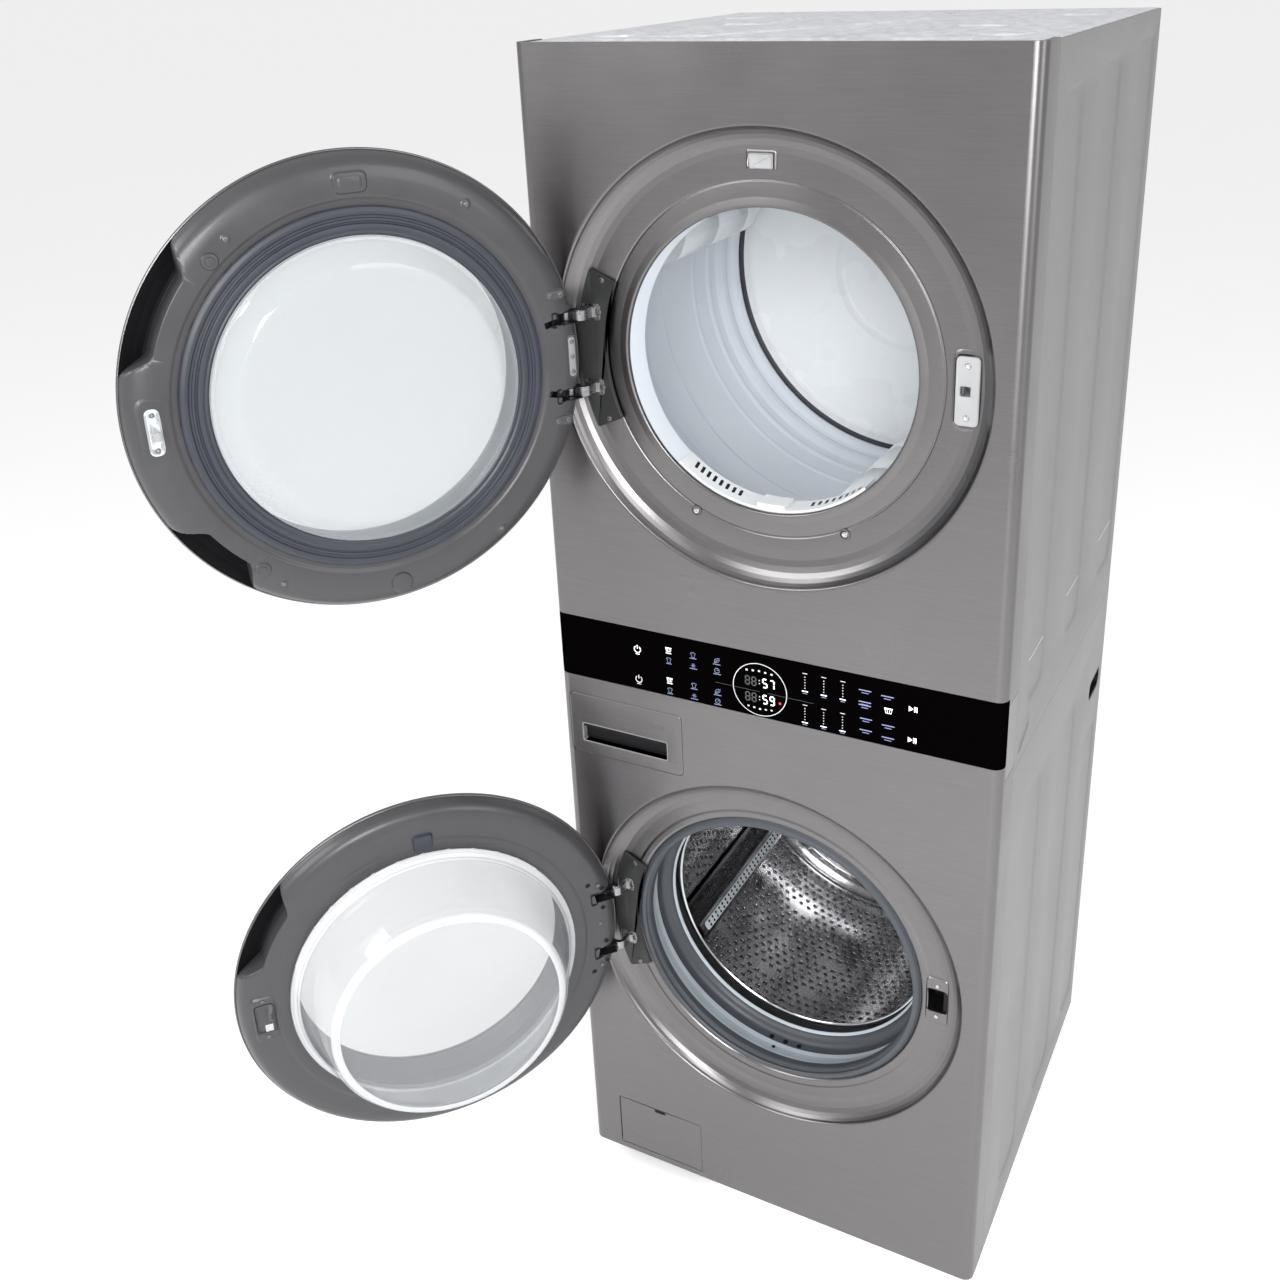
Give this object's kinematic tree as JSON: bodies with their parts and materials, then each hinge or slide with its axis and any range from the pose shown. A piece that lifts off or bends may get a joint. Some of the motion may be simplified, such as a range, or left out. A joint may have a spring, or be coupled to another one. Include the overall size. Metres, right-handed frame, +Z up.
{
  "type": "washer dryer stack",
  "caption": "Full-height laundry tower: front-loading washer below, vented dryer above, one touch control band between, both round doors hinged left and standing open.",
  "frame": {"origin": "on the floor below the centre of the cabinet's footprint, at the middle of the four feet", "axes": "+X to the right seen from the front, the front faces -Y, +Z up"},
  "size_m": [1.0128, 1.2128, 1.889],
  "materials": {
    "graphite_steel": "brushed graphite",
    "side_paint": "satin grey paint",
    "galvanised": "matt sheet",
    "black_glass": "polished black",
    "smoked_glass": "polished, lightly smoked",
    "clear_glass": "polished",
    "dark_plastic": "satin dark grey",
    "grey_plastic": "satin grey",
    "light_plastic": "light grey",
    "white_plastic": "white",
    "black_plastic": "black",
    "rubber_dark": "soft dark blue-grey",
    "rubber_pale": "pale blue-grey",
    "drum_paint": "grey-blue enamel",
    "back_paint": "very light enamel",
    "stainless": "polished stainless",
    "tub_plastic": "glass-filled grey",
    "cast_alloy": "as cast",
    "ballast": "concrete",
    "dark_metal": "black steel",
    "zinc_steel": "zinc plated",
    "motor_parts": "lacquered",
    "belt_rubber": "ribbed"
  },
  "bodies": {
    "cabinet": {"base_pan": "galvanised", "washer_side_left": "side_paint", "washer_side_right": "side_paint", "dryer_side_left": "side_paint", "dryer_side_right": "side_paint", "top_cover": "galvanised", "dryer_front_panel": "graphite_steel", "washer_front_panel": "graphite_steel", "washer_rear_panel": "galvanised", "dryer_rear_panel": "galvanised", "control_glass": "black_glass", "control_housing": "grey_plastic", "dryer_hinge": "dark_metal", "washer_hinge": "dark_metal", "dryer_catch": "light_plastic", "washer_lock": "black_plastic", "drum_lamp": "clear_glass", "cabinet_screws": "zinc_steel", "dryer_base": "galvanised", "dryer_bulkhead": "white_plastic", "drum_back": "back_paint", "drum_belt": "belt_rubber", "dryer_motor": "motor_parts", "air_ducts": "galvanised", "door_gasket": "rubber_pale", "washer_tub": "tub_plastic", "motor_stator": "motor_parts", "counterweights": "ballast", "tub_suspension": "dark_metal", "drain_pump": "white_plastic", "drawer_housing": "white_plastic", "water_fittings": "white_plastic"},
    "dryer_door": {"dryer_door_ring": "graphite_steel", "dryer_door_glass": "smoked_glass", "dryer_door_frame": "dark_plastic", "dryer_door_seal": "rubber_dark", "dryer_door_window": "clear_glass", "dryer_door_strike": "light_plastic"},
    "washer_door": {"washer_door_ring": "graphite_steel", "washer_door_glass": "smoked_glass", "washer_door_frame": "dark_plastic", "washer_door_bowl": "clear_glass"},
    "washer_hook": {"washer_door_hook": "zinc_steel"},
    "dryer_drum": {"dryer_drum": "drum_paint", "dryer_lifters": "light_plastic"},
    "roller_left": {"drum_roller_left": "rubber_dark"},
    "roller_right": {"drum_roller_right": "rubber_dark"},
    "idler": {"idler_pulley": "black_plastic"},
    "blower": {"blower_wheel": "black_plastic"},
    "lint_filter": {"lint_filter": "white_plastic"},
    "washer_drum": {"washer_drum": "stainless", "drum_spider": "cast_alloy", "motor_rotor": "motor_parts"},
    "pump_filter": {"pump_filter": "light_plastic"},
    "filter_cover": {"filter_cover": "graphite_steel"},
    "drawer": {"detergent_drawer": "grey_plastic"},
    "foot_front_left": {"foot_front_left": "black_plastic"},
    "foot_front_right": {"foot_front_right": "black_plastic"},
    "foot_rear_left": {"foot_rear_left": "black_plastic"},
    "foot_rear_right": {"foot_rear_right": "black_plastic"}
  },
  "joints": [
    {"name": "dryer_door_hinge", "type": "hinge", "parent": "cabinet", "child": "dryer_door", "pos_m": [-0.283, -0.355, 1.486], "axis": [0, 0, -1], "range_deg": [-124, 5]},
    {"name": "washer_door_hinge", "type": "hinge", "parent": "cabinet", "child": "washer_door", "pos_m": [-0.283, -0.355, 0.541], "axis": [0, 0, -1], "range_deg": [-131, 0]},
    {"name": "door_hook_pivot", "type": "hinge", "parent": "washer_door", "child": "washer_hook", "pos_m": [-0.6231, -0.76758, 0.545], "axis": [0, 0, 1], "range_deg": [-9, 0], "stiffness_Nm_per_rad": 0.05},
    {"name": "dryer_drum_spin", "type": "hinge", "parent": "cabinet", "child": "dryer_drum", "pos_m": [0, 0, 1.486], "axis": [0, 1, 0], "continuous": true},
    {"name": "roller_left_spin", "type": "hinge", "parent": "cabinet", "child": "roller_left", "pos_m": [-0.27608, 0.236, 1.25434], "axis": [0, 1, 0], "continuous": true},
    {"name": "roller_right_spin", "type": "hinge", "parent": "cabinet", "child": "roller_right", "pos_m": [0.27608, 0.236, 1.25434], "axis": [0, 1, 0], "continuous": true},
    {"name": "blower_spin", "type": "hinge", "parent": "cabinet", "child": "blower", "pos_m": [0.215, 0, 1.15], "axis": [0, 1, 0], "continuous": true},
    {"name": "idler_spin", "type": "hinge", "parent": "cabinet", "child": "idler", "pos_m": [0.08682, 0.06, 1.12631], "axis": [0, 1, 0], "continuous": true},
    {"name": "lint_filter_slide", "type": "slide", "parent": "cabinet", "child": "lint_filter", "axis": [0, 0, 1], "range_m": [0, 0.19]},
    {"name": "washer_drum_spin", "type": "hinge", "parent": "cabinet", "child": "washer_drum", "pos_m": [0, 0, 0.541], "axis": [0, 1, 0], "continuous": true},
    {"name": "pump_filter_turn", "type": "hinge", "parent": "cabinet", "child": "pump_filter", "pos_m": [-0.208, -0.32, 0.096], "axis": [0, -1, 0], "range_deg": [0, 360]},
    {"name": "filter_cover_hinge", "type": "hinge", "parent": "cabinet", "child": "filter_cover", "pos_m": [-0.2085, -0.3408, 0.047], "axis": [1, 0, 0], "range_deg": [0, 80]},
    {"name": "drawer_slide", "type": "slide", "parent": "cabinet", "child": "drawer", "axis": [0, -1, 0], "range_m": [0, 0.22]},
    {"name": "foot_front_left_screw", "type": "hinge", "parent": "cabinet", "child": "foot_front_left", "pos_m": [-0.29, -0.29, 0], "axis": [0, 0, 1], "continuous": true},
    {"name": "foot_rear_left_screw", "type": "hinge", "parent": "cabinet", "child": "foot_rear_left", "pos_m": [-0.29, 0.29, 0], "axis": [0, 0, 1], "continuous": true},
    {"name": "foot_front_right_screw", "type": "hinge", "parent": "cabinet", "child": "foot_front_right", "pos_m": [0.29, -0.29, 0], "axis": [0, 0, 1], "continuous": true},
    {"name": "foot_rear_right_screw", "type": "hinge", "parent": "cabinet", "child": "foot_rear_right", "pos_m": [0.29, 0.29, 0], "axis": [0, 0, 1], "continuous": true}
  ],
  "couplings": [
    {"joint": "roller_left_spin", "follows": "dryer_drum_spin", "ratio": -9.2857},
    {"joint": "roller_right_spin", "follows": "dryer_drum_spin", "ratio": -9.2857},
    {"joint": "blower_spin", "follows": "dryer_drum_spin", "ratio": 23.214},
    {"joint": "idler_spin", "follows": "dryer_drum_spin", "ratio": -16.25}
  ]
}
